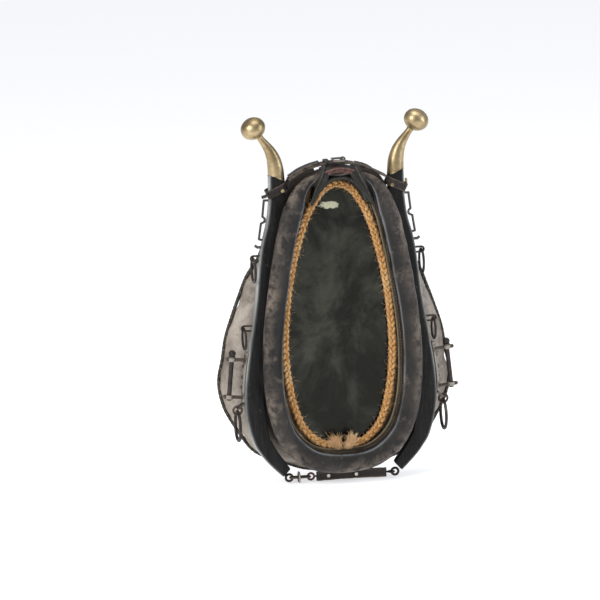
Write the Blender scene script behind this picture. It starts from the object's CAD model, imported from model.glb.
"""A horse collar that frames a mirror, with wooden hames, brass horns and a rope trim.

Shapes are drawn in millimetres: +x is right as seen from the front, +y runs back and
+z is up. ORIGIN is the point of the drawing that lies at the origin of the scene.
The collar is a ring open at the top; its stations run from the left top, down round
the bottom, to the right top. Sections across it use (outward, back) coordinates.
"""

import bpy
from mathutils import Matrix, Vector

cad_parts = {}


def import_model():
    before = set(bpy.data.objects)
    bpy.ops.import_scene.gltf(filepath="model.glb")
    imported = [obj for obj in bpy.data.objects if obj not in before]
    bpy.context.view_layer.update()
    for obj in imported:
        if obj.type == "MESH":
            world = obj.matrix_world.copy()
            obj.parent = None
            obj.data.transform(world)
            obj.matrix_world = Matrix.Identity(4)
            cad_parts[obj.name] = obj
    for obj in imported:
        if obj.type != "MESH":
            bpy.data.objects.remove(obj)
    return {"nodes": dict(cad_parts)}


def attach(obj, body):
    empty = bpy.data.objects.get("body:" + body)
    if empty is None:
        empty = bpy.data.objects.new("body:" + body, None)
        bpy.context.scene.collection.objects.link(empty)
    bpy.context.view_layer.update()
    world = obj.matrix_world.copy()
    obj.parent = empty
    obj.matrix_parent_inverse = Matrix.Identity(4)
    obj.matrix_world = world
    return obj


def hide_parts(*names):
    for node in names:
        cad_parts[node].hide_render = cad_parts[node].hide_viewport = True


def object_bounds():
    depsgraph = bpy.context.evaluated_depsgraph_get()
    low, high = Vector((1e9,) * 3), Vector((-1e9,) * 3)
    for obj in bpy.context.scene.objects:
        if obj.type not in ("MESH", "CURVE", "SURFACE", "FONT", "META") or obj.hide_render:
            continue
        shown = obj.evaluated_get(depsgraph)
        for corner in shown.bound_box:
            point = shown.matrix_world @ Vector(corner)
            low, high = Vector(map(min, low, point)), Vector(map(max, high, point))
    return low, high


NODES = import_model()["nodes"]
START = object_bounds()

import math

import bpy
import bmesh
import numpy as np
from mathutils import Matrix, Vector

MM = 0.001
ORIGIN = np.array([0.0, 44.9, 500.0])
SIDES = ((-1, "left"), (1, "right"))

# ------------------------------------------------------------------ shape tables (mm)
# Right half of the ring, top to bottom: roll centre x, z, reach of the body outward
# from it, depth of the body's back
RING_HALF = [
    (36, 599, 14, 65.3), (58, 590, 15, 66.8), (75, 571, 17, 68.9), (84.7, 549, 19, 71.1),
    (92, 529, 21, 73.2), (97.6, 510, 23, 76.1), (106, 471, 25, 81.2), (113.6, 433, 29, 86.9),
    (119.8, 394, 46.0, 92.7), (125.4, 355, 55.5, 97.0), (130, 316, 65.0, 99.9),
    (133.0, 277, 75.0, 102.8), (133.8, 239, 81.2, 104.2), (132.6, 200, 90.5, 104.2),
    (128.0, 161, 86.8, 102.8), (118.5, 122, 73.0, 98.4), (105, 94, 62.5, 92.7),
    (82, 68.5, 40, 86.9), (50, 51, 30, 82.6), (0, 44.5, 25, 78.3),
]
# Right hame, top to bottom: outer edge x, z, width inward from it
HAME = [
    (128.0, 611, 25.5), (130.0, 602, 29.2), (130.6, 592, 30.5), (130.9, 570, 31),
    (131.8, 549, 32), (137.3, 510, 32), (147.0, 471, 32), (153.2, 433, 32), (157.4, 394, 32),
    (161.8, 355, 32), (167.8, 316, 33), (174.8, 277, 35), (181.0, 239, 37), (185.4, 200, 38),
    (186.4, 161, 38), (181.6, 122, 37), (171.5, 84, 34), (158.6, 63, 31), (143.8, 44.5, 28),
    (128.5, 29.5, 25), (115.0, 17.0, 21),
]
# Right horn, bottom to top: axis x, z, radius
HORN = [
    (115.6, 605, 15.8), (116.0, 613, 15.4), (117.4, 624, 14.5), (121.2, 638.7, 12.6),
    (127.8, 652.8, 10.1), (136.2, 665.4, 7.7), (142.0, 673.0, 6.6), (146.5, 679.5, 6.5),
    (151.0, 686.0, 7.4),
]
# Right half of the rope, top to bottom: x, z
ROPE = [
    (12, 579.5), (26, 571.5), (36, 560.5), (45.5, 546), (56, 526), (63.5, 507), (74.6, 469),
    (84, 431), (91, 393), (96, 355), (99.6, 316), (101.6, 277), (101.2, 239), (97.6, 200),
    (91.0, 161), (79.0, 122), (67.5, 102.5), (51.5, 86.5), (33, 76.5), (11, 73.4),
]
# Top strap and the fold lying on it, left to right: x, z
STRAP = [
    (-94, 593.0), (-74, 605.5), (-50, 615.0), (-25, 620.4), (0, 621.8), (25, 619.6),
    (50, 612.0), (74, 601.0), (94, 590.5),
]
TAIL = [(-93, 598.6), (-75, 609.8), (-51, 619.4), (-34, 623.6)]

MID_Y = 31.8            # mid depth of the horns and the bottom strap
HAME_FRONT = 20.6
HAME_BACK = 43          # the body bulges back from here
ROLL_CLEAR = 22.6       # hame's least distance from the roll's centre line
ROPE_Y = 26.0


# ------------------------------------------------------------------ small maths
def spline_point(p0, p1, p2, p3, t):
    """Catmull-Rom point between p1 and p2."""
    return 0.5 * (2 * p1 + (p2 - p0) * t + (2 * p0 - 5 * p1 + 4 * p2 - p3) * t * t
                  + (3 * p1 - p0 - 3 * p2 + p3) * t ** 3)


def catmull(rows, steps):
    """Smooth open curve through the rows, with steps points to each span."""
    rows = np.array(rows, float)
    ext = np.vstack([2 * rows[0] - rows[1], rows, 2 * rows[-1] - rows[-2]])
    out = []
    for i in range(1, len(ext) - 2):
        out += [spline_point(*ext[i - 1:i + 3], k / steps) for k in range(steps)]
    out.append(rows[-1])
    return np.array(out)


def evenly(points, n, dims=None):
    """n rows spread evenly by length, measured over the first dims columns; and the length."""
    points = np.asarray(points, float)
    steps = np.diff(points[:, :dims], axis=0)
    run = np.r_[0, np.cumsum(np.linalg.norm(steps, axis=1))]
    t = np.linspace(0, run[-1], n)
    return np.column_stack([np.interp(t, run, col) for col in points.T]), run[-1]


def unit(v, guard=0.0):
    """Vectors scaled to length 1; guard keeps a zero length from dividing."""
    return v / (np.linalg.norm(v, axis=-1, keepdims=True) + guard)


def clamp(x):
    return np.clip(x, 0, 1)


def bell(x, centre, width):
    return np.exp(-((x - centre) / width) ** 2)


def moving_mean(a, k):
    pad = np.pad(a, (k // 2, k - 1 - k // 2), mode="edge")
    return np.convolve(pad, np.ones(k) / k, mode="valid")


def wobble(n, waves, amp, seed):
    """Smooth random series of n values."""
    r = np.random.default_rng(seed)
    x = np.linspace(0, 1, n)
    out = np.zeros(n)
    for w in range(1, waves + 1):
        out += r.normal() * np.sin(2 * np.pi * w * x + r.uniform(0, 6.28)) / math.sqrt(waves)
    return out * amp


def field(u, v, seed, waves, fu=1.0, fv=1.0):
    """Smooth random field over u, v; fu and fv spread its frequencies."""
    r = np.random.default_rng(seed)
    out = np.zeros(np.broadcast(u, v).shape)
    for _ in range(waves):
        a, b = r.normal(0, fu), r.normal(0, fv)
        out = out + np.sin(a * u + b * v + r.uniform(0, 6.28))
    return out / math.sqrt(waves)


def planar_tangents(x, z):
    dx, dz = np.gradient(x), np.gradient(z)
    length = np.hypot(dx, dz)
    return dx / length, dz / length


def square_to(across, tangent):
    """The across directions made unit and square to the tangents."""
    return unit(across - (across * tangent).sum(1)[:, None] * tangent)


def side_frames(path, up):
    """Tangent, side and up vectors along a path, kept steady round `up`."""
    t = unit(np.gradient(path, axis=0), 1e-12)
    side = unit(np.cross(t, np.array(up, float)), 1e-12)
    return t, side, np.cross(side, t)


def turn(n):
    """n angles round a full circle."""
    return np.linspace(0, 2 * np.pi, n, endpoint=False)


def section(centre, a, axis_a, b, axis_b):
    """Section outline (a, b) set at a centre on two axes."""
    return centre + a[:, None] * axis_a + b[:, None] * axis_b


# ------------------------------------------------------------------ mesh builders
def add_object(name, mesh):
    mesh.polygons.foreach_set("use_smooth", [True] * len(mesh.polygons))
    ob = bpy.data.objects.new(name, mesh)
    bpy.context.scene.collection.objects.link(ob)
    return ob


def from_bmesh(name, bm):
    mesh = bpy.data.meshes.new(name)
    bm.to_mesh(mesh)
    bm.free()
    return add_object(name, mesh)


def new_mesh(name, verts, faces):
    mesh = bpy.data.meshes.new(name)
    faces = [tuple(int(i) for i in f) for f in faces]
    mesh.from_pydata([tuple(v) for v in np.asarray(verts) * MM], [], faces)
    mesh.update()
    bm = bmesh.new()
    bm.from_mesh(mesh)
    bmesh.ops.recalc_face_normals(bm, faces=bm.faces)
    bm.to_mesh(mesh)
    bm.free()
    return add_object(name, mesh)


def tube_faces(n, m, closed):
    faces = []
    for i in range(n if closed else n - 1):
        i2 = (i + 1) % n
        for j in range(m):
            j2 = (j + 1) % m
            faces.append((i * m + j, i * m + j2, i2 * m + j2, i2 * m + j))
    return faces


def loft(name, rings, closed=False, attrs=None):
    """Skin over closed rings (n, m, 3), capped unless closed on itself. attrs: name -> (n, m)."""
    rings = np.asarray(rings, float)
    n, m, _ = rings.shape
    faces = tube_faces(n, m, closed)
    verts = rings.reshape(-1, 3)
    if not closed:
        verts = np.vstack([verts, rings[0].mean(0), rings[-1].mean(0)])
        first, last = n * m, n * m + 1
        faces += [(first, (j + 1) % m, j) for j in range(m)]
        faces += [(last, (n - 1) * m + j, (n - 1) * m + (j + 1) % m) for j in range(m)]
    ob = new_mesh(name, verts, faces)
    for key, values in (attrs or {}).items():
        values = np.asarray(values, float).reshape(-1)
        values = np.r_[values, np.zeros(len(verts) - len(values))]
        attribute = ob.data.attributes.new(key, "FLOAT", "POINT")
        attribute.data.foreach_set("value", values.astype(np.float32))
    return ob


def pipe(name, path, radius, m=14, up=(0, 1, 0), closed=False, attrs=None):
    """Round tube of m sides along a path; the radius may vary."""
    path = np.asarray(path, float)
    if closed:
        t = unit(np.roll(path, -1, 0) - np.roll(path, 1, 0))
        side = unit(np.cross(t, np.array(up, float)))
        up = np.cross(side, t)
    else:
        _, side, up = side_frames(path, up)
    th = turn(m)[None, :, None]
    radius = np.broadcast_to(np.asarray(radius, float), (len(path),))[:, None, None]
    spokes = np.cos(th) * side[:, None, :] + np.sin(th) * up[:, None, :]
    return loft(name, path[:, None, :] + radius * spokes, closed=closed, attrs=attrs)


def corner_points(x0, x1, y0, y1, r, k):
    """The four rounded corners of a rectangle, k points each."""
    corners = ((x1 - r, y1 - r, 0), (x0 + r, y1 - r, 90), (x0 + r, y0 + r, 180),
               (x1 - r, y0 + r, 270))
    points = []
    for cx, cy, start in corners:
        for i in range(k):
            a = math.radians(start + 90 * i / (k - 1))
            points.append((cx + r * math.cos(a), cy + r * math.sin(a)))
    return points


def fill_sides(points, pieces):
    """Closed outline with each side cut into pieces(dx, dy) equal lengths."""
    out = []
    for i, p in enumerate(points):
        q = points[(i + 1) % len(points)]
        dx, dy = q[0] - p[0], q[1] - p[1]
        out.append(p)
        count = pieces(dx, dy)
        out += [(p[0] + dx * (j / count), p[1] + dy * (j / count)) for j in range(1, count)]
    return np.array(out)


def band_section(width, thick, edge):
    """Band outline, with extra points along the wide sides so that it can wrinkle."""
    r = min(edge, width / 2 - 1e-3, thick / 2 - 1e-3)
    corners = corner_points(-width / 2, width / 2, -thick / 2, thick / 2, r, 4)
    return fill_sides(corners, lambda dx, dy: 5 if abs(dx) > 3 else 1)


def rounded_path(x0, x1, y0, y1, r):
    """Closed path round a rounded rectangle, in steps of under 3 mm on its sides."""
    corners = corner_points(x0, x1, y0, y1, r, 7)
    return fill_sides(corners, lambda dx, dy: int(math.hypot(dx, dy) // 3.0) + 1)


def edge_wear(across, width, margin):
    """1 at a band's edges, falling to 0 at the margin inside them."""
    return clamp((np.abs(across) - width / 2 + margin) / margin)


def strap(name, path, across, width, thick, n, seed, rough=0.25, edge=1.1):
    """Leather band along a path. Returns it and its run: points, across, normals."""
    P, length = evenly(catmull(path, 12), n)
    t = unit(np.gradient(P, axis=0))
    A = square_to(np.tile(np.array(across, float), (n, 1)), t)
    N = np.cross(t, A)
    sec = band_section(width, thick, edge)
    s = np.linspace(0, length, n)
    stretch = 1 + wobble(n, waves=9, amp=0.012, seed=seed)
    rings = []
    for i in range(n):
        ripple = rough * field(s[i] / 9.0, sec[:, 0] / 9.0, seed=seed, waves=8)
        rings.append(section(P[i], sec[:, 0] * stretch[i], A[i], sec[:, 1] + ripple, N[i]))
    wear = np.tile(edge_wear(sec[:, 0], width, margin=2.2), (n, 1))
    return loft(name, rings, attrs={"wear": wear}), (P, A, N)


def loop_band(name, outline, across, width, thick, seed):
    """Closed leather band along a closed run of points."""
    P = np.asarray(outline, float)
    n = len(P)
    t = unit(np.roll(P, -1, 0) - np.roll(P, 1, 0))
    A = square_to(np.tile(np.array(across, float), (n, 1)), t)
    N = np.cross(t, A)
    sec = band_section(width, thick, edge=0.8)
    rings = []
    for i, angle in enumerate(turn(n)):
        round_ = np.cos(angle) * 3 + np.sin(angle) * 2
        ripple = 0.18 * field(round_, sec[:, 0] / 6.0, seed=seed, waves=8)
        rings.append(section(P[i], sec[:, 0], A[i], sec[:, 1] + ripple, N[i]))
    wear = np.tile(edge_wear(sec[:, 0], width, margin=2.0), (n, 1))
    return loft(name, rings, closed=True, attrs={"wear": wear})


def join(name, parts):
    """One object from several, in place."""
    bm = bmesh.new()
    for part in parts:
        bm.from_mesh(part.data)
    for part in parts:
        bpy.data.objects.remove(part)
    return from_bmesh(name, bm)


def stitches(name, centres, dirs, length, thick, segs=10, rings=6):
    """Rounded stitches in one mesh; length and thick are half sizes, dirs the long axes."""
    bm = bmesh.new()
    for centre, along in zip(centres, dirs):
        spin = Vector((1, 0, 0)).rotation_difference(Vector(along))
        mat = Matrix.Translation(Vector(centre) * MM) @ spin.to_matrix().to_4x4()
        mat = mat @ Matrix.Diagonal((length * MM, thick * MM, thick * MM, 1))
        bmesh.ops.create_uvsphere(bm, u_segments=segs, v_segments=rings, radius=1.0, matrix=mat)
    return from_bmesh(name, bm)


def hairs(name, curves, radius):
    """Many thin three-sided fibres in one mesh, thinner towards their tips."""
    V, F = [], []
    for c in curves:
        n = len(c)
        t = unit(np.gradient(c, axis=0), 1e-9)
        a = unit(np.cross(t, (0.3, 1.0, 0.2)), 1e-9)
        b = np.cross(t, a)
        base = len(V)
        for i in range(n):
            r = radius * (1.0 - 0.55 * i / (n - 1))
            for k in range(3):
                angle = 2 * math.pi * k / 3
                V.append(c[i] + r * (math.cos(angle) * a[i] + math.sin(angle) * b[i]))
        F += [tuple(base + j for j in f) for f in tube_faces(n, 3, closed=False)]
        F.append((base, base + 2, base + 1))
        end = base + (n - 1) * 3
        F.append((end, end + 1, end + 2))
    return new_mesh(name, V, F)


# ------------------------------------------------------------------ materials
def lin(r, g, b):
    """Linear colour from 8-bit sRGB."""
    def channel(c):
        c = c / 255.0
        return c / 12.92 if c <= 0.04045 else ((c + 0.055) / 1.055) ** 2.4
    return (channel(r), channel(g), channel(b), 1.0)


def scaled(colour, k):
    return [c * k for c in colour]


class Mat:
    """A principled material and short calls for its nodes. Colours are 8-bit sRGB."""

    INPUTS = {"color": "Base Color", "rough": "Roughness", "metal": "Metallic",
              "normal": "Normal", "spec": "Specular IOR Level", "sheen": "Sheen Weight",
              "sheen_rough": "Sheen Roughness", "glow_color": "Emission Color",
              "glow": "Emission Strength"}

    def __init__(self, name):
        self.m = bpy.data.materials.new(name)
        self.m.use_nodes = True
        self.t = self.m.node_tree
        self.t.nodes.clear()
        out = self.node("OutputMaterial")
        self.bsdf = self.node("BsdfPrincipled")
        self.t.links.new(self.bsdf.outputs[0], out.inputs[0])
        self.coord = self.node("TexCoord").outputs["Object"]

    def node(self, kind):
        return self.t.nodes.new("ShaderNode" + kind)

    def put(self, socket, value):
        if isinstance(value, bpy.types.NodeSocket):
            self.t.links.new(value, socket)
        else:
            socket.default_value = value

    def noise(self, scale, detail, rough, vec=None, distort=0.0):
        n = self.node("TexNoise")
        self.put(n.inputs["Vector"], vec or self.coord)
        n.inputs["Scale"].default_value = scale
        n.inputs["Detail"].default_value = detail
        n.inputs["Roughness"].default_value = rough
        n.inputs["Distortion"].default_value = distort
        return n.outputs["Fac"]

    def voronoi(self, scale, feature="F1", vec=None):
        n = self.node("TexVoronoi")
        n.feature = feature
        self.put(n.inputs["Vector"], vec or self.coord)
        n.inputs["Scale"].default_value = scale
        return n.outputs["Distance"]

    def stretch(self, x, y, z):
        n = self.node("Mapping")
        self.put(n.inputs["Vector"], self.coord)
        n.inputs["Scale"].default_value = (x, y, z)
        return n.outputs[0]

    def band(self, fac, low, high, to=(0.0, 1.0)):
        """Smooth step from to[0] at low to to[1] at high."""
        n = self.node("MapRange")
        n.interpolation_type = "SMOOTHSTEP"
        self.put(n.inputs[0], fac)
        for i, value in enumerate((low, high, *to), 1):
            n.inputs[i].default_value = value
        return n.outputs[0]

    def patches(self, scale, detail, rough, low, high, vec=None):
        """Noise cut into soft-edged patches."""
        return self.band(self.noise(scale, detail, rough, vec), low, high)

    def math(self, op, a, b, clamp=False):
        n = self.node("Math")
        n.operation = op
        n.use_clamp = clamp
        self.put(n.inputs[0], a)
        self.put(n.inputs[1], b)
        return n.outputs[0]

    def times(self, a, b, clamp=False):
        return self.math("MULTIPLY", a, b, clamp)

    def plus(self, a, b):
        return self.math("ADD", a, b)

    def minus(self, a, b, clamp=False):
        return self.math("SUBTRACT", a, b, clamp)

    def mix(self, fac, a, b):
        n = self.node("Mix")
        n.data_type = "RGBA"
        n.blend_type = "MIX"
        self.put(n.inputs[0], fac)
        self.put(n.inputs[6], a)
        self.put(n.inputs[7], b)
        return n.outputs[2]

    def blend(self, fac, a, b):
        """Mix of two plain colours."""
        return self.mix(fac, lin(*a), lin(*b))

    def tint(self, under, colour, mask, amount=None, clamp=False):
        """A colour laid over `under` where the mask is, by the amount."""
        if amount is not None:
            mask = self.times(mask, amount, clamp)
        return self.mix(mask, under, lin(*colour))

    def attr(self, name):
        n = self.node("Attribute")
        n.attribute_name = name
        return n.outputs["Fac"]

    def geo(self, key):
        return self.node("NewGeometry").outputs[key]

    def xyz(self, vec):
        n = self.node("SeparateXYZ")
        self.put(n.inputs[0], vec)
        return n.outputs

    def bump(self, height, strength, dist):
        n = self.node("Bump")
        self.put(n.inputs["Height"], height)
        n.inputs["Strength"].default_value = strength
        n.inputs["Distance"].default_value = dist
        return n.outputs[0]

    def set(self, **values):
        for key, value in values.items():
            self.put(self.bsdf.inputs[self.INPUTS[key]], value)
        return self.m


def leather(name, dark, mid, worn, rough, wear, crack, grain=1.0, dust=0.0,
            dust_color=(150, 138, 122), gleam=0.0, rim=0.0, spec=0.4):
    m = Mat(name)
    big = m.noise(scale=9.0, detail=6, rough=0.6)
    medium = m.noise(scale=38.0, detail=7, rough=0.65)
    fine = m.noise(scale=260.0, detail=5, rough=0.6)
    col = m.blend(m.band(big, low=0.35, high=0.68), dark, mid)
    col = m.tint(col, worn, mask=m.band(medium, low=0.55, high=0.75), amount=0.45 * wear)
    worn_edges = m.times(m.attr("wear"),
                         m.patches(scale=70.0, detail=6, rough=0.7, low=0.36, high=0.62))
    col = m.tint(col, worn, mask=worn_edges, amount=wear, clamp=True)
    if dust:
        # settles on what faces up
        up = m.xyz(m.geo("Normal"))[2]
        settled = m.times(m.band(up, low=-0.1, high=0.9),
                          m.patches(scale=22.0, detail=8, rough=0.7, low=0.35, high=0.7))
        col = m.tint(col, dust_color, mask=settled, amount=dust, clamp=True)
    if gleam:
        shine = m.times(m.attr("gleam"), m.patches(scale=30.0, detail=5, rough=0.6, low=0.25,
                                                   high=0.55, vec=m.stretch(1, 1, 0.4)))
        col = m.tint(col, (146, 152, 158), mask=shine, amount=gleam, clamp=True)
    if rim:
        col = m.tint(col, (40, 33, 29), mask=m.attr("rim"), amount=rim, clamp=True)
    cells = m.voronoi(scale=210.0, feature="DISTANCE_TO_EDGE", vec=m.stretch(1, 1, 1.6))
    whole = m.band(cells, low=0.0, high=0.06)     # 0 in the cracks
    col = m.tint(col, scaled(dark, 0.45), mask=m.minus(1.0, whole), amount=0.35 * crack)
    height = m.plus(m.times(m.voronoi(scale=950.0), 0.5), m.times(fine, 0.8))
    height = m.plus(height, m.times(whole, 0.5 * crack))
    height = m.plus(height, m.times(medium, 0.9))
    mottle = m.plus(m.times(medium, 0.6), m.times(fine, 0.4))
    return m.set(color=col, rough=m.band(mottle, low=0.3, high=0.7, to=rough),
                 normal=m.bump(height, strength=0.55 * grain, dist=0.0012), spec=spec)


def iron(name, base=(46, 43, 41), rust=(92, 58, 38), worn=(172, 166, 156), rusty=0.35,
         bright=0.3, metal=0.75):
    m = Mat(name)
    coarse = m.noise(scale=60.0, detail=8, rough=0.65)
    fine = m.noise(scale=240.0, detail=6, rough=0.7)
    col = m.blend(m.band(coarse, low=0.42, high=0.62), base, scaled(base, 1.35))
    rusted = m.times(m.patches(scale=95.0, detail=8, rough=0.7, low=0.5, high=0.68), rusty)
    col = m.tint(col, rust, mask=rusted)
    rubbed = m.math("MAXIMUM", m.band(m.geo("Pointiness"), low=0.52, high=0.62),
                    m.patches(scale=35.0, detail=4, rough=0.5, low=0.6, high=0.72))
    col = m.tint(col, worn, mask=rubbed, amount=bright, clamp=True)
    rough = m.band(fine, low=0.3, high=0.7, to=(0.34, 0.62))
    return m.set(color=col, metal=m.minus(metal, m.times(rusted, 0.8), clamp=True), rough=rough,
                 normal=m.bump(m.plus(coarse, m.times(fine, 0.5)), strength=0.4, dist=0.0008))


def brass(name, base, light, dark=(112, 96, 70), rough=(0.24, 0.42)):
    m = Mat(name)
    coarse = m.noise(scale=26.0, detail=8, rough=0.62)
    fine = m.noise(scale=190.0, detail=7, rough=0.7)
    col = m.blend(m.band(coarse, low=0.36, high=0.66), dark, base)
    lit = m.patches(scale=48.0, detail=6, rough=0.6, low=0.56, high=0.74)
    col = m.tint(col, light, mask=lit, amount=0.5)
    clean = m.band(m.voronoi(scale=170.0), low=0.0, high=0.10)
    col = m.tint(col, dark, mask=m.minus(1.0, clean), amount=0.3)
    rough = m.band(fine, low=0.3, high=0.7, to=rough)
    height = m.plus(m.times(coarse, 0.6), m.times(fine, 0.4))
    return m.set(color=col, metal=0.92, rough=rough,
                 normal=m.bump(height, strength=0.22, dist=0.0008))


def black_wood(name):
    m = Mat(name)
    grain = m.noise(scale=30.0, detail=8, rough=0.6, vec=m.stretch(6, 6, 0.8))
    fine = m.noise(scale=180.0, detail=7, rough=0.7, vec=m.stretch(3, 3, 0.5))
    col = m.blend(m.band(grain, low=0.35, high=0.7), (9, 9, 9), (26, 26, 26))
    chips = m.patches(scale=90.0, detail=8, rough=0.75, low=0.60, high=0.68)
    col = m.tint(col, (82, 79, 73), mask=chips, amount=0.55)
    worn = m.times(m.attr("wear"), m.patches(scale=60.0, detail=7, rough=0.7, low=0.24,
                                             high=0.46, vec=m.stretch(1, 1, 0.35)))
    col = m.tint(col, (158, 160, 158), mask=worn, amount=0.95, clamp=True)
    rough = m.band(fine, low=0.3, high=0.7, to=(0.42, 0.68))
    height = m.plus(m.times(grain, 0.6), m.times(fine, 0.5))
    return m.set(color=col, rough=rough, spec=0.22,
                 normal=m.bump(height, strength=0.6, dist=0.0011))


def jute(name, light, dark, pale, lay=1.0):
    m = Mat(name)
    fuzz = m.noise(scale=420.0, detail=5, rough=0.7)
    broad = m.noise(scale=28.0, detail=5, rough=0.6)
    fibre = m.noise(scale=300.0, detail=6, rough=0.7, vec=m.stretch(1, 1, 0.35))
    col = m.blend(m.band(fibre, low=0.34, high=0.66), dark, light)
    col = m.tint(col, pale, mask=m.band(broad, low=0.45, high=0.75), amount=0.4)
    col = m.tint(col, (74, 46, 24), mask=m.attr("groove"), amount=0.75, clamp=True)
    height = m.plus(fuzz, m.times(fibre, 1.2))
    return m.set(color=col, rough=0.85, spec=0.2, sheen=0.25, sheen_rough=0.4,
                 normal=m.bump(height, strength=0.8 * lay, dist=0.0010))


def straw(name):
    m = Mat(name)
    fibre = m.noise(scale=240.0, detail=6, rough=0.7, vec=m.stretch(1, 1, 0.2))
    col = m.blend(m.band(fibre, low=0.3, high=0.7), (120, 98, 56), (196, 170, 112))
    return m.set(color=col, rough=0.9, normal=m.bump(fibre, strength=0.7, dist=0.001))


def board(name):
    m = Mat(name)
    grain = m.noise(scale=14.0, detail=8, rough=0.6, vec=m.stretch(5, 1, 0.5))
    col = m.blend(m.band(grain, low=0.35, high=0.65), (104, 82, 54), (150, 122, 84))
    return m.set(color=col, rough=0.75, normal=m.bump(grain, strength=0.3, dist=0.0006))


def steel(name):
    m = Mat(name)
    grain = m.noise(scale=160.0, detail=6, rough=0.6)
    return m.set(color=m.blend(grain, (150, 152, 154), (190, 192, 192)), metal=0.95,
                 rough=m.band(grain, low=0.3, high=0.7, to=(0.28, 0.45)))


def thread(name):
    m = Mat(name)
    twist = m.noise(scale=700.0, detail=3, rough=0.6)
    col = m.blend(m.band(twist, low=0.3, high=0.7), (96, 84, 66), (158, 142, 114))
    return m.set(color=col, rough=0.8, normal=m.bump(twist, strength=0.5, dist=0.0003))


def mirror(name):
    """Dark blotched glass with pale specks and one pale slanting patch near the middle."""
    patch_x, patch_z = -0.0175, 0.0395      # centre, metres
    squeeze_x, squeeze_z = 44.0, 118.0      # one over the half sizes
    slant = 0.22
    m = Mat(name)
    broad = m.noise(scale=7.0, detail=9, rough=0.72, distort=0.6)
    fine = m.noise(scale=36.0, detail=8, rough=0.75)
    col = m.blend(m.band(broad, low=0.40, high=0.66), (30, 30, 27), (58, 58, 52))
    specks = m.minus(1.0, m.band(m.voronoi(scale=52.0), low=0.015, high=0.05))
    col = m.tint(col, (168, 166, 150), mask=specks, amount=m.band(fine, low=0.5, high=0.62))
    x, _, z = m.xyz(m.coord)
    dx = m.times(m.minus(x, patch_x), squeeze_x)
    dz = m.times(m.minus(z, patch_z), squeeze_z)
    dz = m.plus(dz, m.times(dx, slant))
    away = m.plus(m.times(dx, dx), m.times(dz, dz))
    ragged = m.minus(m.noise(scale=60.0, detail=5, rough=0.6), 0.5)
    away = m.plus(away, m.times(ragged, 3.4))
    patch = m.minus(1.0, m.band(away, low=0.55, high=1.0))
    col = m.tint(col, (206, 208, 176), mask=patch, amount=0.9)
    rough = m.plus(m.band(fine, low=0.35, high=0.7, to=(0.06, 0.30)), m.times(patch, 0.4))
    return m.set(color=col, metal=m.minus(0.92, m.times(patch, 0.9)), rough=rough,
                 normal=m.bump(fine, strength=0.03, dist=0.001))


MATS = {
    "roll": leather("roll_leather", dark=(14, 13, 13), mid=(42, 38, 35), worn=(126, 113, 101),
                    rough=(0.34, 0.62), wear=1.0, crack=0.9, dust=0.05,
                    dust_color=(104, 98, 92), gleam=0.75, spec=0.3),
    "flank": leather("flank_leather", dark=(104, 95, 87), mid=(160, 150, 139),
                     worn=(206, 198, 188), rough=(0.5, 0.82), wear=0.5, crack=0.7, dust=0.2,
                     dust_color=(190, 182, 172), rim=0.92, spec=0.25),
    "dark_leather": leather("dark_leather", dark=(19, 20, 17), mid=(38, 38, 33),
                            worn=(92, 88, 78), rough=(0.36, 0.62), wear=0.6, crack=0.6,
                            spec=0.3),
    "strap": leather("strap_leather", dark=(24, 20, 19), mid=(48, 40, 36),
                     worn=(112, 100, 88), rough=(0.36, 0.62), wear=0.7, crack=0.7, dust=0.08,
                     spec=0.3),
    "red_leather": leather("red_leather", dark=(44, 26, 24), mid=(84, 48, 42),
                           worn=(140, 100, 90), rough=(0.34, 0.6), wear=0.6, crack=0.8),
    "lining": leather("lining", dark=(54, 47, 36), mid=(88, 79, 61), worn=(122, 112, 90),
                      rough=(0.7, 0.9), wear=0.4, crack=0.2, grain=0.7),
    "hame": black_wood("hame_wood"),
    "brass": brass("antique_brass", base=(182, 164, 128), dark=(140, 122, 90),
                   light=(214, 200, 168), rough=(0.32, 0.48)),
    "brass_small": brass("small_brass", base=(190, 168, 122), light=(236, 222, 186)),
    "iron": iron("forged_iron"),
    "iron_worn": iron("worn_iron", base=(70, 64, 58), rusty=0.4, bright=0.6),
    "rust": iron("rusted_iron", base=(58, 44, 36), rust=(120, 70, 40), rusty=0.85,
                 bright=0.2, metal=0.55),
    "bright": iron("bright_steel", base=(140, 134, 124), rust=(110, 84, 60),
                   worn=(226, 220, 208), rusty=0.2, bright=0.7, metal=0.9),
    "rope": jute("jute_rope", light=(226, 180, 118), dark=(172, 116, 60),
                 pale=(240, 210, 158)),
    "fray": jute("frayed_jute", light=(236, 204, 156), dark=(206, 156, 100),
                 pale=(250, 234, 204), lay=0.5),
    "straw": straw("straw_stuffing"),
    "board": board("backing_board"),
    "steel": steel("zinc_steel"),
    "mirror": mirror("aged_mirror"),
    "thread": thread("linen_thread"),
}


def dress(ob, material, body="root", instead=()):
    """instead: the CAD pieces it stands in for."""
    ob.data.transform(Matrix.Translation(Vector(-ORIGIN * MM)))
    ob.data.materials.clear()
    ob.data.materials.append(MATS[material])
    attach(ob, body)
    if instead:
        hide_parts(*instead)


# ------------------------------------------------------------------ the CAD pieces' materials
CAD_LOOK = {
    "straw": ("forewale_core", "body_pad"),
    "lining": ("body_lining",),
    "dark_leather": ("rear_binding", "top_arch_leather"),
    "mirror": ("mirror_glass",),
    "board": ("backing_board",),
    "steel": ("hanger_plate", "hanger_screws"),
    "brass_small": ("loop_rivets", "strap_end_keeper"),
    "bright": ("bottom_strap_rivets", "bottom_d_ring"),
    "rust": ("bottom_eye", "lower_link_right"),
    "iron_worn": ("bottom_link", "lower_link_left", "hame_buckle_frame", "hame_buckle_tongue"),
    "hame": ("hame_left", "hame_right"),
}
LOOK_OF = {name: key for key, names in CAD_LOOK.items() for name in names}


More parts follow.
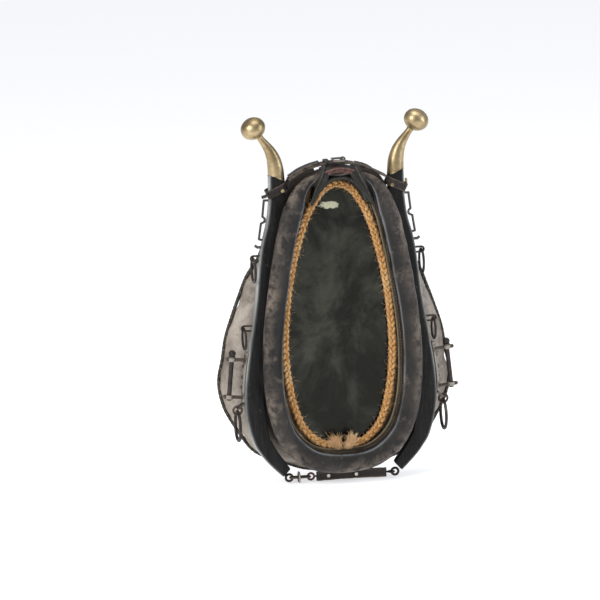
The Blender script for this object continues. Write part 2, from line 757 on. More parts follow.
def cad_look(name):
    if name in LOOK_OF:
        return LOOK_OF[name]
    for start, key in (("draft_lug", "iron_worn"), ("rope", "rope"), ("brass_horn", "brass")):
        if name.startswith(start):
            return key
    if any(word in name for word in ("leather", "strap", "keeper", "loop")):
        return "strap"
    return "iron"


for node_name, node in NODES.items():
    node.data.materials.clear()
    node.data.materials.append(MATS[cad_look(node_name)])
    for polygon in node.data.polygons:
        polygon.use_smooth = True


# ------------------------------------------------------------------ cloth for padded pieces
def coordinates(mesh):
    flat = np.zeros(len(mesh.vertices) * 3)
    mesh.vertices.foreach_get("co", flat)
    return flat.reshape(-1, 3)


def puff(ob, pin, frames, pressure, cap):
    """Blows a closed skin up with a short cloth simulation and keeps the result.
    pin: 0..1 per vertex, 1 = held. cap: the most a vertex may move, mm."""
    tension = 12.0
    mesh = ob.data
    rest = coordinates(mesh)
    group = ob.vertex_groups.new(name="pin")
    levels = np.round(np.asarray(pin) * 10).astype(int)
    for level in range(1, 11):
        held = np.nonzero(levels == level)[0]
        if len(held):
            group.add([int(i) for i in held], level / 10, "REPLACE")
    mod = ob.modifiers.new("cloth", "CLOTH")
    s = mod.settings
    s.vertex_group_mass = "pin"
    s.quality = 5
    s.mass = 0.25
    s.tension_stiffness = tension
    s.compression_stiffness = tension
    s.shear_stiffness = tension * 0.6
    s.bending_stiffness = 0.6
    s.use_pressure = True
    s.uniform_pressure_force = pressure
    s.shrink_min = -0.01
    s.effector_weights.gravity = 0.0
    mod.collision_settings.use_collision = False
    mod.point_cache.frame_start = 1
    mod.point_cache.frame_end = frames
    scene = bpy.context.scene
    for f in range(1, frames + 1):
        scene.frame_set(f)
        bpy.context.view_layer.update()
    evaluated = ob.evaluated_get(bpy.context.evaluated_depsgraph_get())
    move = coordinates(evaluated.data) - rest
    move[~np.isfinite(move)] = 0
    dist = np.linalg.norm(move, axis=1)
    limit = cap * MM
    k = np.where(dist > 1e-12, limit * np.tanh(dist / limit) / np.maximum(dist, 1e-12), 0)
    ob.modifiers.remove(mod)
    ob.vertex_groups.remove(group)
    mesh.vertices.foreach_set("co", (rest + move * k[:, None]).reshape(-1))
    mesh.update()
    scene.frame_set(1)


# ------------------------------------------------------------------ stations round the opening
STATIONS = 430
RING, RING_LEN = evenly(
    catmull([(-r[0],) + r[1:] for r in RING_HALF[:-1]] + RING_HALF[::-1], 14), STATIONS, 2)
RING_X, RING_Z, REACH, DEPTH = RING.T
TAN_X, TAN_Z = planar_tangents(RING_X, RING_Z)
OUT_X, OUT_Z = TAN_Z, -TAN_X                    # away from the opening
RING_S = np.linspace(0, RING_LEN, STATIONS)


def place(i, out, back):
    """Section coordinates at station i to 3-D."""
    return np.stack([RING_X[i] + out * OUT_X[i], back, RING_Z[i] + out * OUT_Z[i]], axis=-1)


def build_roll():
    """Stuffed leather tube at the front, wrinkled, its ends gathered and folded in."""
    m = 64
    radius = 19.5
    welt, welt_sides = 146, (136, 156)          # back seam, degrees
    gather, dome = 95.0, 5                      # lengths of an end's taper and rounding
    th = turn(m)                                # 0 = outward, 90 degrees = back
    deg = np.degrees(th)
    rings = np.zeros((STATIONS, m, 3))
    wear = np.zeros((STATIONS, m))
    gleam = np.zeros((STATIONS, m))
    for i, s in enumerate(RING_S):
        end = min(s, RING_LEN - s)              # distance to the nearer end
        t = clamp(end / gather)
        taper = 0.30 + 0.70 * (t * t * (3 - 2 * t)) ** 0.8
        close = 1.0
        if end < dome:
            close = math.sqrt(max(0.0, 1 - ((dome - end) / 5.05) ** 2))
        base = radius + 0.3 * math.sin(s / 47.0 + 1.3)
        soft = (0.42 * field(s / 16.0, th * 1.2, seed=11, waves=10)
                + 0.20 * field(s / 6.0, th * 2.0, seed=12, waves=10))
        # creases are deepest round the bottom bend
        bend = 0.45 + 0.55 * bell(RING_Z[i], 110, 80.0)
        folds = field(s / 3.4, th * 0.8, seed=13, waves=14, fu=1.0, fv=0.6)
        r = base + soft - 0.55 * bend * np.clip(np.abs(folds) - 0.9, 0, 1.2)
        r = r + 0.9 * bell(deg, welt, 5.0)
        r = r - 0.5 * (bell(deg, welt_sides[0], 3.0) + bell(deg, welt_sides[1], 3.0))
        # folded edge that climbs from the inner side to the front towards each end
        near = bell(end, 0, 120.0)
        from_fold = (deg - (213 + 17 * near) + 180) % 360 - 180
        r = r + (0.7 + 2.2 * near) * bell(from_fold, 0, 6.5)
        r = r - (0.8 + 3.4 * near) * bell(from_fold, -19, 11.0)
        r = r * taper * close
        rings[i] = place(i, r * np.cos(th) + (1 - taper) * 6.5,
                         r * np.sin(th) - (1 - taper) * 3.0)
        rubbed = 0.55 + 0.45 * math.sin(s / 60.0 + 0.6) * math.sin(s / 23.0)
        wear[i] = clamp(0.9 * (clamp(np.cos(th - math.radians(-28))) ** 2 * rubbed))
        wear[i] *= 1 - 0.9 * near * bell(from_fold, -30, 34.0)
        gleam[i] = bell(from_fold, 0, 6.0) * (0.75 + 0.25 * near)
    ob = loft("forewale_roll", rings, attrs={"wear": wear, "gleam": gleam})
    # held along the welt and at both ends
    held = np.zeros((STATIONS, m))
    held[:, np.abs(deg - welt) < 7] = 1.0
    held[:18] = 1
    held[-18:] = 1
    puff(ob, np.r_[held.reshape(-1), 0, 0], frames=10, pressure=3.0, cap=1.1)
    dress(ob, "roll", instead=("forewale_leather", "forewale_core"))

    stitch_radius, stitch_pitch, margin = 19.7, 6.2, 60.0
    points, dirs = [], []
    s = margin
    while s < RING_LEN - margin:
        i = int(s / RING_LEN * (STATIONS - 1))
        for q in welt_sides:
            a = math.radians(q)
            points.append(place(i, stitch_radius * math.cos(a), stitch_radius * math.sin(a)))
            dirs.append((TAN_X[i], 0.0, TAN_Z[i]))
        s += stitch_pitch
    ob = stitches("roll_stitches", points, dirs, length=1.9, thick=0.55)
    dress(ob, "thread")


# ------------------------------------------------------------------ body
def inward(depth):
    """How far the section stands in towards the opening: less where the body is shallow."""
    return min(1.0, 0.35 + (depth - 65.3) * 0.118)


def body_points(reach, depth):
    """Section outline: from under the roll, out behind the hame, round the back, inside."""
    bulge = depth - HAME_BACK
    k = inward(depth)
    nose_radius = 20.0 + 1.2

    def nose(u):
        u = u * k
        return (u, math.sqrt(nose_radius ** 2 - u ** 2))

    u5, v5 = min(14.0, 0.5 * reach), 46.5
    u6, v6 = min(0.5 * reach + 6, reach - 4), 46 + 0.25 * bulge
    return [
        nose(-17.4), nose(-11.5), (-5.5 * k, 23.5), (-2.0, 32), (2.0, 43.5), (u5, v5),
        (u5 + 0.33 * (u6 - u5), v5 + 0.24 * (v6 - v5)),
        (u5 + 0.67 * (u6 - u5), v5 + 0.58 * (v6 - v5)),
        (u6, v6), (0.80 * reach, HAME_BACK + 0.46 * bulge),
        (0.96 * reach, HAME_BACK + 0.66 * bulge), (reach, HAME_BACK + 0.82 * bulge),
        (0.90 * reach, depth - 3), (0.66 * reach, depth), (0.36 * reach, depth - 2),
        (0.08 * reach - 4 * k, depth - 8), (-13.5 * k, depth - 22), (-17.5 * k, 0.55 * depth),
        (-18.6 * k, 30),
    ]


def build_body():
    """Stuffed body under dusty leather."""
    per = 5         # points to each span of the section
    rings, mask, wear, rim = [], [], [], []
    for i in range(0, STATIONS, 2):
        P = np.array(body_points(REACH[i], DEPTH[i]))
        k = len(P)
        sec = np.array([
            spline_point(P[(j - 1) % k], P[j], P[(j + 1) % k], P[(j + 2) % k], q / per)
            for j in range(k) for q in range(per)])
        at = np.arange(len(sec)) / per      # place round the section, in outline points
        tan = unit(np.roll(sec, -1, 0) - np.roll(sec, 1, 0), 1e-9)
        nrm = np.column_stack([tan[:, 1], -tan[:, 0]])
        if (nrm * (sec - sec.mean(0))).sum() < 0:
            nrm = -nrm
        free = clamp((at - 5.2) / 1.5) * clamp((15.6 - at) / 1.2)
        s = RING_S[i]
        lumps = (2.1 * field(s / 42.0, at / 2.4, seed=21, waves=9)
                 + 0.9 * field(s / 17.0, at / 1.3, seed=22, waves=10))
        wrinkles = 0.7 * field(s / 7.0, at / 3.0, seed=23, waves=12, fu=1.0, fv=0.4)
        tuck = -2.2 * bell(at, 6.4, 0.5) * (0.6 + 0.4 * math.sin(s / 5.1))
        quilt = -1.5 * bell(at, 9.6, 0.2)
        swell = np.minimum((lumps + wrinkles + tuck) * free + quilt, 2.4)
        sec = sec + nrm * swell[:, None]
        rings.append(place(i, sec[:, 0], sec[:, 1]))
        mask.append(free)
        wear.append(clamp(1 - np.abs(at - 8.6) / 1.6) * 0.8)
        top = clamp((RING_Z[i] - 535) / 30)
        rim.append(clamp(clamp((at - 10.3) / 0.9) + clamp((6.7 - at) / 0.8) + top))
    ob = loft("collar_body", rings, attrs={"wear": wear, "rim": rim})
    pin = np.r_[1 - np.array(mask).reshape(-1), 1, 1]
    puff(ob, clamp(pin), frames=12, pressure=3.0, cap=2.2)
    dress(ob, "flank", instead=("body_leather", "body_pad"))


def build_binding():
    """Cord-bound rear edge, wrapped and stitched."""
    n = 620
    radius, wrap_pitch = 3.5, 9.0
    out = REACH + 2.0
    path = np.column_stack([RING_X + OUT_X * out, HAME_BACK + 0.80 * (DEPTH - HAME_BACK),
                            RING_Z + OUT_Z * out])
    path, length = evenly(path, n)
    radii = (radius + 0.22 * np.cos(np.arange(n) * 2 * np.pi * length / n / wrap_pitch)
             + wobble(n, waves=12, amp=0.12, seed=31))
    cord = pipe("rear_binding_cord", path, radii, attrs={"wear": np.full((n, 14), 0.5)})
    dress(cord, "dark_leather", instead=("rear_binding",))
    picks = range(4, n - 4, 5)
    points = [path[i] + np.array([0, -3.06, 0]) for i in picks]
    dirs = [path[i + 1] - path[i - 1] for i in picks]
    ob = stitches("binding_stitches", points, dirs, length=2.1, thick=0.6)
    dress(ob, "thread")


def build_lining():
    """Strip on the wall of the opening, and the cord along its seam."""
    rings = []
    for i in range(0, STATIONS, 2):
        k = inward(DEPTH[i])
        e = max(52.0, 0.55 * DEPTH[i] + 4)
        c = np.array([
            (-19.6 * k, 12), (-21.6 * k, 26), (-21.9 * k, 36), (-21.9 * k, 45),
            (-20.6 * k - 0.2, e - 4), (-19.8 * k, e), (-17.5 * k, e + 9),
            (-17.5 * k + 1.2, e + 9), (-19.6 * k + 1.2, e), (-19.8 * k + 1.2, 44),
            (-19.4 * k + 1.8, 25), (-17.5 * k, 14)])
        c[1:6, 0] += 0.25 * field(RING_S[i] / 8.0, np.arange(5.0), seed=41, waves=8)
        rings.append(place(i, c[:, 0], c[:, 1]))
    dress(loft("opening_lining", rings), "lining", instead=("body_lining",))
    n = 300
    path, _ = evenly([place(i, -20.9 * inward(DEPTH[i]), 20.0)
                      for i in range(24, STATIONS - 24, 2)], n)
    radii = 1.0 + wobble(n, waves=30, amp=0.08, seed=44)
    dress(pipe("lining_seam_cord", path, radii, m=8), "thread")


# ------------------------------------------------------------------ hames
def gap_to_roll(x, z):
    return np.sqrt((RING_X - x) ** 2 + (RING_Z - z) ** 2).min()


def build_hame(side, side_name):
    """Wooden bar, bevelled on its outer front edge; its front face clears the roll."""
    path, _ = evenly(catmull(HAME, 12), 210, 2)
    tan_x, tan_z = planar_tangents(path[:, 0], path[:, 1])
    rings, wear = [], []
    for i, (x, z, w) in enumerate(path):
        nx, nz = -tan_z[i], tan_x[i]            # outward
        # the bevel fades out at both ends
        fade = min(clamp((584 - z) / 34.0) ** 0.8, clamp((z - 14) / 40.0) ** 0.6)
        across = np.array([0.0, -0.02, -0.07, -0.16, -0.28, -0.42, -0.56, -0.70, -0.84, -0.94,
                           -1.0]) * w
        front = []
        for u in across:
            gap = gap_to_roll(x + u * nx, z + u * nz)
            v = HAME_FRONT
            if gap < ROLL_CLEAR:
                v = max(v, math.sqrt(max(0.0, ROLL_CLEAR ** 2 - gap ** 2)))
            front.append(min(v + 3.2 * max(0, (-u / w - 0.55)), 30))
        front = moving_mean(np.array(front), 3)
        cut = 3.5 * fade + 2.5
        back = HAME_BACK
        sec = [(0.0, back - 5), (0.2, 35), (0.3, 32), (0.1, front[0] + cut),
               (-0.03 * w, front[0] + cut * 0.45), (-0.09 * w, front[0] + cut * 0.12 + 0.6)]
        sec += zip(across[3:], front[3:])
        sec += [(-w - 0.3, (front[-1] + back) / 2), (-w, back - 3), (-w + 3, back)]
        sec += [(-k * w, back + 0.2) for k in (0.7, 0.45, 0.2)] + [(-0.06 * w, back - 1.0)]
        sec = np.array(sec)
        # hand-worked surface
        k = np.arange(len(sec))
        jitter = (0.28 * field(i / 7.0, k / 2.0, seed=51, waves=10)
                  + 0.16 * field(i / 2.2, k / 1.2, seed=52, waves=10))
        sec = sec + unit(sec - sec.mean(0)) * np.minimum(jitter, 0.25)[:, None]
        rings.append(np.column_stack([side * (x + sec[:, 0] * nx), sec[:, 1],
                                      z + sec[:, 0] * nz]))
        edge = np.zeros(len(sec))
        edge[0:6] = [0.6, 0.9, 1.0, 1.0, 1.0, 0.25]
        wear.append(edge * (0.75 + 0.25 * math.sin(i / 9.0)))
    ob = loft(f"hame_{side_name}_wood", rings, attrs={"wear": wear})
    sub = ob.modifiers.new("sub", "SUBSURF")
    sub.levels = 2
    sub.render_levels = 2
    dress(ob, "hame", instead=(f"hame_{side_name}",))


# ------------------------------------------------------------------ brass horns
def horn_sleeve(side):
    """Tapering sleeve whose lower edge dips towards the middle of the collar."""
    n = m = 64
    path, _ = evenly(catmull(HORN, 8), n, 2)
    x, z, r = path.T
    t = unit(np.column_stack([np.gradient(x), np.zeros(n), np.gradient(z)]))
    # starts straight up
    t[:6] = (t[:6] * np.linspace(0, 1, 6)[:, None]
             + np.array([0, 0, 1]) * np.linspace(1, 0, 6)[:, None])
    th = turn(m)
    dip = 1.5 + 10.4 * clamp(0.5 + 0.62 * np.cos(th - math.pi)) ** 1.6 + 0.9 * np.cos(3 * th)
    rings = []
    for q in np.linspace(1, 0, 7)[:-1]:
        flare = r[0] + 0.9 * q ** 2
        rings.append(np.column_stack([x[0] + flare * np.cos(th), MID_Y + flare * np.sin(th),
                                      z[0] - dip * q]))
    back = np.array([0, 1.0, 0])
    for i in range(n):
        away = unit(np.cross(t[i], back))       # from the middle of the collar
        if away[0] < 0:
            away = -away
        radii = r[i] * (1 + 0.006 * field(i / 5.0, th * 2, seed=61, waves=8))
        if 56 <= i <= 59:                       # raised collar under the ball
            radii = radii + 0.8 * math.sin((i - 55.5) / 4 * math.pi)
        centre = np.array([x[i], MID_Y, z[i]])
        rings.append(section(centre, radii * np.cos(th), away, radii * np.sin(th), back))
    # lip turned inside: 9% in towards the axis, then 6 mm up
    axis = rings[0].copy()
    axis[:, :2] = x[0], MID_Y
    lip = rings[0] + (axis - rings[0]) * 0.09
    rings = np.array([lip + [0, 0, 6.0], lip] + rings)
    rings[:, :, 0] *= side
    return loft("horn_sleeve", rings)


def horn_ball(side):
    """Ball, a little flattened along the horn and slightly uneven."""
    bm = bmesh.new()
    bmesh.ops.create_uvsphere(bm, u_segments=64, v_segments=40, radius=24.0 * MM)
    axis = Vector((0.45 * side, 0, 0.89))
    for v in bm.verts:
        v.co -= axis * v.co.dot(axis) * 0.13
        c = v.co / MM
        v.co *= (1 + 0.004 * math.sin(c.x * 0.31 + 1) * math.sin(c.z * 0.27)
                 + 0.003 * math.sin(c.y * 0.42 + c.z * 0.2))
    ball = from_bmesh("ball", bm)
    ball.data.transform(Matrix.Translation(Vector((side * 157.8, MID_Y, 695.5)) * MM))
    return ball


def build_horn(side, side_name):
    ob = join(f"brass_horn_{side_name}_shell", [horn_sleeve(side), horn_ball(side)])
    dress(ob, "brass", instead=(f"brass_horn_{side_name}",))


# ------------------------------------------------------------------ rope
def rope_path(n):
    """The left side bows outward by up to 4.6 mm."""
    left = [(-x - 4.6 * math.sin(math.pi * min(1, max(0, (z - 80) / 480))), z)
            for x, z in ROPE[::-1]]
    P, length = evenly(catmull(left + [(0, 582)] + ROPE, 12), n)
    return np.column_stack([P[:, 0], np.full(n, ROPE_Y), P[:, 1]]), length


def grow(p, d, bend, curl, length, steps):
    """Fibre from p along d, turned by bend at each step."""
    points = [p]
    for _ in range(steps):
        d = unit(d + bend * curl)
        points.append(points[-1] + d * length / steps)
    return np.array(points)


def build_rope():
    """Three plaited strands with loose fibres."""
    rng = np.random.default_rng(7)
    n, m = 1000, 18
    lay_pitch, yarn_pitch = 35.0, 13.0
    rope_radius, strand_radius = 7.6, 3.35
    P, length = rope_path(n)
    t, side, up = side_frames(P, (0, 1, 0))
    run = np.linspace(0, length, n)
    th = turn(m)
    strands = []
    for k in range(3):
        phase = 2 * np.pi * (run / lay_pitch + k / 3.0) + wobble(n, waves=14, amp=0.18, seed=72)
        wide = (4.15 + wobble(n, waves=22, amp=0.18, seed=75)) * np.sin(phase)
        deep = (2.5 + wobble(n, waves=22, amp=0.12, seed=76)) * np.sin(2 * phase)
        centre = P + wide[:, None] * side + deep[:, None] * up
        tan = unit(np.gradient(centre, axis=0))
        a = square_to(up, tan)
        b = np.cross(tan, a)
        twist = 2 * np.pi * run / yarn_pitch + k
        yarn = 0.42 * np.abs(np.cos(3.5 * (th[None, :] + twist[:, None])))
        uneven = wobble(n, waves=60, amp=0.035, seed=81 + k)
        r = strand_radius * (1.0 + uneven)[:, None] - 0.2 + yarn + 0.17 * rng.normal(size=(n, m))
        spokes = (np.cos(th)[None, :, None] * a[:, None, :]
                  + np.sin(th)[None, :, None] * b[:, None, :])
        # darker where strands pass under, at their sides and between yarns
        under = clamp(0.5 + 0.6 * np.sin(2 * phase))[:, None] * clamp(0.4 + 0.6 * np.cos(th))
        sides = np.abs(np.sin(th))[None, :] ** 3
        groove = clamp(0.55 * under + 0.45 * sides + 0.35 * clamp(1 - yarn / 0.12))
        strands.append(loft(f"strand{k}", centre[:, None, :] + r[:, :, None] * spokes,
                            attrs={"groove": groove}))
    dress(join("rope_strands", strands), "rope", instead=("rope_trim",))

    def root():
        """Random place on the rope, and the direction out of it there."""
        i = int(rng.integers(6, n - 6))
        a = rng.uniform(0, 2 * np.pi)
        return i, math.cos(a) * side[i] + math.sin(a) * up[i]

    curves = []
    for _ in range(4200):
        i, out = root()
        if out[1] > 0.75:       # none at the back
            continue
        d = out * rng.uniform(0.3, 1.0) + t[i] * rng.normal(0, 0.8) + rng.normal(0, 0.35, 3)
        long = min(rng.gamma(2.2, 1.5), 9.0)
        bend = rng.normal(0, 0.5, 3)
        curves.append(grow(P[i] + out * (rope_radius - 0.5), unit(d), bend, curl=0.35,
                           length=long, steps=4))
    # long strays
    for _ in range(420):
        i, out = root()
        if out[1] > 0.4:
            continue
        d = out * 0.8 + t[i] * rng.normal(0, 0.5) + rng.normal(0, 0.25, 3)
        bend = rng.normal(0, 0.35, 3)
        curves.append(grow(P[i] + out * (rope_radius - 0.8), d, bend, curl=0.4,
                           length=rng.uniform(6, 17), steps=6))
    dress(hairs("rope_fibres", curves, 0.15), "fray")


def build_fray(side, side_name, seed, lean, spread, height):
    """Brush of fibres at a rope end, and the three short strands inside it."""
    r = np.random.default_rng(seed)
    base = np.array([side * 8.6, 12.0, 70.0])
    curves = []
    for _ in range(340):
        p = base + r.normal(0, 1, 3) * [3.4, 2.4, 1.5]
        tip = base + np.array([lean * height + r.normal(0, spread * 0.55),
                               r.normal(-4.5, 2.6),
                               (0.30 + 0.75 * r.random() ** 1.3) * height])
        middle = (p + tip) / 2 + r.normal(0, 2.1, 3)
        curl = r.normal(0, 4.2, 3) * [1, 0.5, 1]
        curves.append(np.array([
            (1 - f) ** 2 * p + 2 * f * (1 - f) * middle + f * f * (tip + curl * f ** 3)
            for f in (k / 8 for k in range(9))]))
    dress(hairs(f"rope_fray_{side_name}", curves, 0.30), "fray")
    n, m = 26, 12
    cores = []
    for k in range(3):
        a = 2 * math.pi * k / 3 + seed
        ca, sa = math.cos(a), math.sin(a)
        points = [np.array([side * 11.5, 24.0, 71.5]), np.array([side * 10.0, 17.0, 69.0]),
                  base + [1.6 * ca, 0.8 * sa, 1.5],
                  base + [lean * 9 + 2.4 * ca, -1 + 1.2 * sa, 9.0],
                  base + [lean * 13 + 3.0 * ca, -1.6, 14.0]]
        path, _ = evenly(catmull(points, 8), n)
        radii = 2.5 * np.linspace(1.15, 0.35, n) * (1 + wobble(n, waves=6, amp=0.06, seed=k))
        groove = np.tile(np.linspace(0.5, 0, n)[:, None], (1, m))
        cores.append(pipe(f"c{k}", path, radii, m=m, attrs={"groove": groove}))
    dress(join(f"rope_tail_{side_name}", cores), "rope",
          instead=(f"rope_end_{side_name}",))


# ------------------------------------------------------------------ straps
def stitch_line(run, off, rise):
    """Stitches on a band, `off` across from its middle and `rise` off it."""
    pitch, margin = 4.6, 3.0
    P, A, N = run
    along = np.r_[0, np.cumsum(np.linalg.norm(np.diff(P, axis=0), axis=1))]
    points, dirs = [], []
    s = margin
    while s < along[-1] - margin:
        i = min(max(int(np.searchsorted(along, s)), 1), len(P) - 1)
        f = (s - along[i - 1]) / max(along[i] - along[i - 1], 1e-6)
        points.append(P[i - 1] * (1 - f) + P[i] * f + A[i] * off + N[i] * rise)
        dirs.append(P[i] - P[i - 1])
        s += pitch
    return points, dirs


def sew(name, run, width, thick, body="root", inset=2.2, faces=(1,)):
    """Rows of stitches inset from both edges of a band, on the given faces."""
    points, dirs = [], []
    for face in faces:
        for edge in (-1, 1):
            p, d = stitch_line(run, edge * (width / 2 - inset), face * (thick / 2 + 0.05))
            points += p
            dirs += d
    ob = stitches(name, points, dirs, length=1.35, thick=0.42, segs=8, rings=5)
    dress(ob, "thread", body)


def build_straps():
    width, thick = 23.6, 4.0
    ob, run = strap("top_strap", [(x, 24.3, z + thick / 2) for x, z in STRAP], (0, 1, 0),
                    width, thick, n=90, seed=91, rough=0.22)
    dress(ob, "strap", instead=("hame_strap",))
    sew("top_strap_stitches", run, width, thick)
    thick = 3.6
    ob, _ = strap("top_strap_fold", [(x, 24.0, z + thick / 2) for x, z in TAIL], (0, 1, 0),
                  22.0, thick, n=40, seed=92)
    dress(ob, "strap", instead=("hame_strap_tail",))
    outline = [(-19.5, y, z) for y, z in rounded_path(9.9, 38.1, 617.4, 628.2, 3.2)]
    ob = loop_band("top_strap_keeper", outline, (1, 0, 0), width=9.6, thick=1.7, seed=93)
    dress(ob, "strap", instead=("hame_strap_keeper",))
    # slanting loops round the hames; the left one has a tab
    for side, side_name in SIDES:
        outline = [(side * x, y, 575 - 0.46 * (x - 115.5))
                   for x, y in rounded_path(97.9, 133.4, 18.9, 45.0, 5.0)]
        parts = [loop_band(f"hame_{side_name}_loop", outline, (side * 0.42, 0, 0.9),
                           width=16.0, thick=2.7, seed=94 + side)]
        if side < 0:
            tab, _ = strap("tab", [(-133, 20, 568.5), (-139, 21, 565.5), (-146, 22, 563.5)],
                           (0.1, 1, 0.1), 15, 2.6, n=14, seed=96)
            parts.append(tab)
        ob = join(f"hame_{side_name}_loop_leather", parts)
        dress(ob, "strap", instead=(f"hame_loop_{side_name}",))


def build_end_buckle():
    """Small cast keeper on the right hame's outer edge: a frame and its bar."""
    x = 136.0
    outline = [(x, y, z) for y, z in rounded_path(25.3, 38.7, 567.8, 582.2, 2.4)]
    bar_path = [(x, y, 575 + 0.3 * math.sin(y)) for y in np.linspace(25.5, 38.5, 14)]
    frame = pipe("k1", outline, 1.3, m=10, up=(1, 0, 0), closed=True)
    bar = pipe("k2", bar_path, 1.0, m=10, up=(1, 0, 0))
    dress(join("hame_end_buckle", [frame, bar]), "brass_small",
          instead=("strap_end_keeper",))


# ------------------------------------------------------------------ top pieces
def build_bridge():
    """Padded leather arch over the mirror's head, from roll to roll."""
    n = 90
    arc = [(-47, 553), (-39, 569), (-29, 581.5), (-16, 590.5), (0, 594.5), (16, 592),
           (30, 583), (42, 567.5), (50, 550)]                   # x, z
    outline = [(-2.5, -1), (-1.0, -5.5), (2.5, -8.2), (7, -7.5), (10, -3.5), (11, 3),
               (10.5, 14), (9, 30), (7, 46), (4, 56), (0.5, 56), (-1.5, 44), (-3, 28),
               (-3.2, 12)]                                      # outward, back
    path, _ = evenly(catmull(arc, 8), n)
    tan_x, tan_z = planar_tangents(path[:, 0], path[:, 1])
    per = 4
    outline = catmull(outline + outline[:1], per)[:-1]
    at = np.arange(len(outline)) / per
    rings = []
    for i in range(n):
        full = 1 - 0.45 * abs(i / 44.5 - 1) ** 2.2              # thinner to the ends
        u = outline[:, 0] * full + 0.45 * field(i / 5.0, at, seed=131, waves=9)
        v = (outline[:, 1] * (0.82 + 0.18 * full)
             + 0.3 * field(i / 4.0, at, seed=132, waves=9) + 4.0)
        rings.append(np.column_stack([path[i, 0] - u * tan_z[i], v,
                                      path[i, 1] + u * tan_x[i]]))
    wear = np.tile(clamp(1 - np.abs(at - 2.0) / 0.9) * 0.6, (n, 1))
    ob = loft("bridge_leather", rings, attrs={"wear": wear})
    puff(ob, np.full(len(ob.data.vertices), 0.15), frames=8, pressure=2.0, cap=0.8)
    dress(ob, "dark_leather", instead=("top_arch_leather",))


def build_cap():
    """Stuffed pad under three plies of red-brown leather, their edges not quite even."""
    arc = [(-50, 593.0), (-42, 602.0), (-34, 606.5), (-24, 608.0), (-12, 607.0), (0, 606.4),
           (12, 607.0), (24, 608.0), (34, 606.5), (42, 602.0), (50, 593.0)]     # x, z
    ob, _ = strap("cap_pad", [(x, 14, z) for x, z in arc], (0, 1, 0), 46, 8.0, n=70, seed=102,
                  rough=0.5, edge=3.6)
    puff(ob, np.full(len(ob.data.vertices), 0.2), frames=8, pressure=2.0, cap=0.7)
    dress(ob, "strap", instead=("top_cap_pad",))
    thick = 2.6
    # rise, width, depth y, left x, right x
    table = ((0.0, 55.0, 13.6, -31, 31), (2.75, 53.2, 13.9, -30, 30.5),
             (5.5, 54.3, 13.2, -31, 29))
    plies = []
    for k, (rise, width, y, x0, x1) in enumerate(table):
        arc = [(x, y, 611.6 - 6 * (x / 29.5) ** 2 + rise) for x in np.linspace(x0, x1, 7)]
        ob, run = strap(f"ply{k}", arc, (0, 1, 0), width, thick, n=44, seed=103 + k,
                        rough=0.3, edge=0.9)
        plies.append(ob)
    dress(join("cap_leather_plies", plies), "red_leather",
          instead=("top_cap_leather",))
    sew("cap_stitches", run, 54, thick, inset=4.0)      # on the top ply


# Middle of the right-hand leaf and the direction of its width: x, y, z each
LEAF = [(21, 10, 617.5), (23, 1, 620.0), (26, -8, 615.5), (31, -15, 606.0), (37, -19, 594.0),
        (44.5, -20.5, 580.0), (52, -20.0, 564.0), (57.5, -18.0, 551.0)]
LEAF_ACROSS = [(1, 0, 0.1), (1, 0, 0.15), (1, 0, 0.3), (1, 0.05, 0.45), (1, 0.25, 0.5),
               (0.95, 0.5, 0.5), (0.9, 0.7, 0.5), (0.9, 0.8, 0.5)]


def build_leaf(name, side, half_width, instead=()):
    """Folded leaf from under the strap, narrowing down the inner side of the roll."""
    n = 80
    both, _ = evenly(np.hstack([catmull(LEAF, 10), catmull(LEAF_ACROSS, 10)]), n, 3)
    P = both[:, :3]
    t = unit(np.gradient(P, axis=0))
    A = square_to(both[:, 3:], t)
    N = np.cross(t, A)
    if N[40, 1] > 0:        # normals face front
        N = -N
    P, A, N = (v * [side, 1, 1] for v in (P, A, N))
    x = np.linspace(-1, 1, 26)
    thick = 2.6 * np.sqrt(np.clip(1 - x ** 6, 0, 1)) + 0.2
    fold = 2.4 * bell(x, 0.45, 0.16) - 1.6 * bell(x, 0.05, 0.22)
    rings = []
    for i in range(n):
        f = i / (n - 1)
        half = half_width * (1 - 0.72 * f ** 1.5) * (0.8 + 0.2 * min(1, i / 8))
        bow = 3.2 * (1 - x ** 2) * (0.4 + 0.6 * f)      # domes over the roll
        front = (bow + fold * (0.4 + 0.6 * math.sin(math.pi * min(1, f * 1.15)))
                 + 0.4 * field(i / 6.0, x * 3, seed=112, waves=9))
        back = front - thick
        rings.append(section(P[i], np.r_[x, x[::-1]] * half, A[i],
                             np.r_[front, back[::-1]], N[i]))
    worn = np.maximum(bell(x, 0.45, 0.13) * 1.2, (np.abs(x) > 0.93) * 0.5)
    wear = np.tile(clamp(np.r_[worn, worn[::-1] * 0.2]), (n, 1))
    dress(loft(name, rings, attrs={"wear": wear}), "dark_leather", instead=instead)


def build_bottom_strap():
    """Two plies between the hames' lower ends."""
    width, thick, half_gap = 17.8, 2.9, 1.55
    plies, runs = [], []
    for k, dy in enumerate((-half_gap, half_gap)):
        path = [(x, MID_Y + dy + 0.5 * math.sin(x / 31.0), 13.5 + 0.6 * math.sin(x / 27.0 + 1))
                for x in np.linspace(-50, 86, 12)]
        ob, run = strap(f"b{k}", path, (0, 0, 1), width, thick, n=80, seed=121 + k, rough=0.22)
        plies.append(ob)
        runs.append(run)
    dress(join("bottom_strap_leather", plies), "strap", "bottom_chain",
          instead=("bottom_strap",))
    sew("bottom_strap_stitches", runs[0], width, thick, body="bottom_chain", inset=2.0,
        faces=(1, -1))


build_roll()
build_body()
build_binding()
build_lining()
for side_, name_ in SIDES:
    build_hame(side_, name_)
    build_horn(side_, name_)
build_rope()
build_fray(-1, "left", seed=5, lean=-0.36, spread=11.5, height=26)
build_fray(1, "right", seed=6, lean=0.30, spread=9.5, height=27)
build_straps()
build_end_buckle()
build_bridge()
build_cap()
build_leaf("folded_flap", 1, 12.5, instead=("strap_flap",))
build_leaf("folded_roll_end", -1, 10.5)
build_bottom_strap()

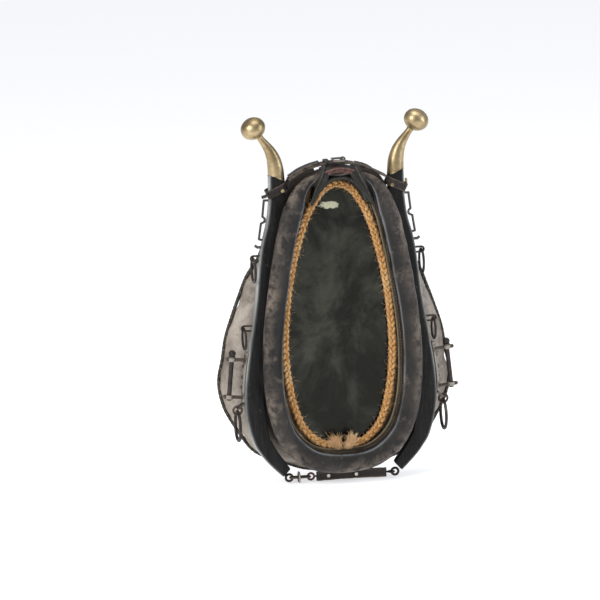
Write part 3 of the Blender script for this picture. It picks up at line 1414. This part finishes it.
# ------------------------------------------------------------------ floor, light, camera (metres)
SCENE = bpy.context.scene


def floor_paper():
    paper = (240, 240, 240)
    m = Mat("floor_paper")
    n = m.noise(scale=1.5, detail=3, rough=0.5)
    return m.set(color=m.blend(m.times(n, 0.05), paper, scaled(paper, 0.97)), rough=0.9,
                 spec=0.1, glow_color=(0.97, 0.97, 1.0, 1), glow=0.55)


def build_floor():
    z = START[0][2] - 0.0005        # just under the lowest CAD piece
    mesh = bpy.data.meshes.new("floor")
    mesh.from_pydata([(-12, -12, z), (12, -12, z), (12, 16, z), (-12, 16, z)], [],
                     [(0, 1, 2, 3)])
    floor = bpy.data.objects.new("floor", mesh)
    SCENE.collection.objects.link(floor)
    mesh.materials.append(floor_paper())


def build_world():
    world = bpy.data.worlds.new("studio")
    world.use_nodes = True
    background = world.node_tree.nodes["Background"]
    background.inputs["Color"].default_value = (0.93, 0.95, 1.0, 1)
    background.inputs["Strength"].default_value = 0.42
    SCENE.world = world


def area(name, at, size, energy, color=(1, 1, 1)):
    """Area light aimed at the collar; at is in drawing coordinates."""
    light = bpy.data.lights.new(name, "AREA")
    light.shape = "RECTANGLE"
    light.size, light.size_y = size
    light.energy = energy
    light.color = color
    ob = bpy.data.objects.new(name, light)
    at = Vector(at) - Vector(ORIGIN * MM)
    aim = Vector((0, 0, 0.3)) - Vector(ORIGIN * MM)
    ob.location = at
    ob.rotation_euler = (aim - at).to_track_quat("-Z", "Y").to_euler()
    SCENE.collection.objects.link(ob)


def build_camera():
    yaw, pitch, tilt = math.radians(10.36), math.radians(11.67), math.radians(-1.27)
    distance = 18.159
    target = Vector((-0.0747, 0.030, 0.3591)) - Vector(ORIGIN * MM)
    away = Vector((-math.sin(yaw) * math.cos(pitch), -math.cos(yaw) * math.cos(pitch),
                   math.sin(pitch)))
    ahead = -away
    right = ahead.cross(Vector((0, 0, 1))).normalized()
    up = right.cross(ahead).normalized()
    tilted_right = math.cos(tilt) * right + math.sin(tilt) * up
    tilted_up = -math.sin(tilt) * right + math.cos(tilt) * up
    data = bpy.data.cameras.new("camera")
    data.sensor_width = 36.0
    data.lens = 572.088
    data.clip_end = 100.0
    camera = bpy.data.objects.new("camera", data)
    mat = Matrix((tilted_right, tilted_up, -ahead)).transposed().to_4x4()
    mat.translation = target + away * distance
    camera.matrix_world = mat
    SCENE.collection.objects.link(camera)
    SCENE.camera = camera


build_floor()
build_world()
area("key", at=(-2.2, -1.6, 1.9), size=(1.2, 1.6), energy=62, color=(1, 0.98, 0.95))
area("fill", at=(2.6, -1.3, 1.3), size=(1.0, 1.8), energy=34, color=(0.93, 0.97, 1))
area("top", at=(0, -0.2, 3.0), size=(1.8, 1.8), energy=42)
build_camera()
SCENE.view_settings.view_transform = "Standard"
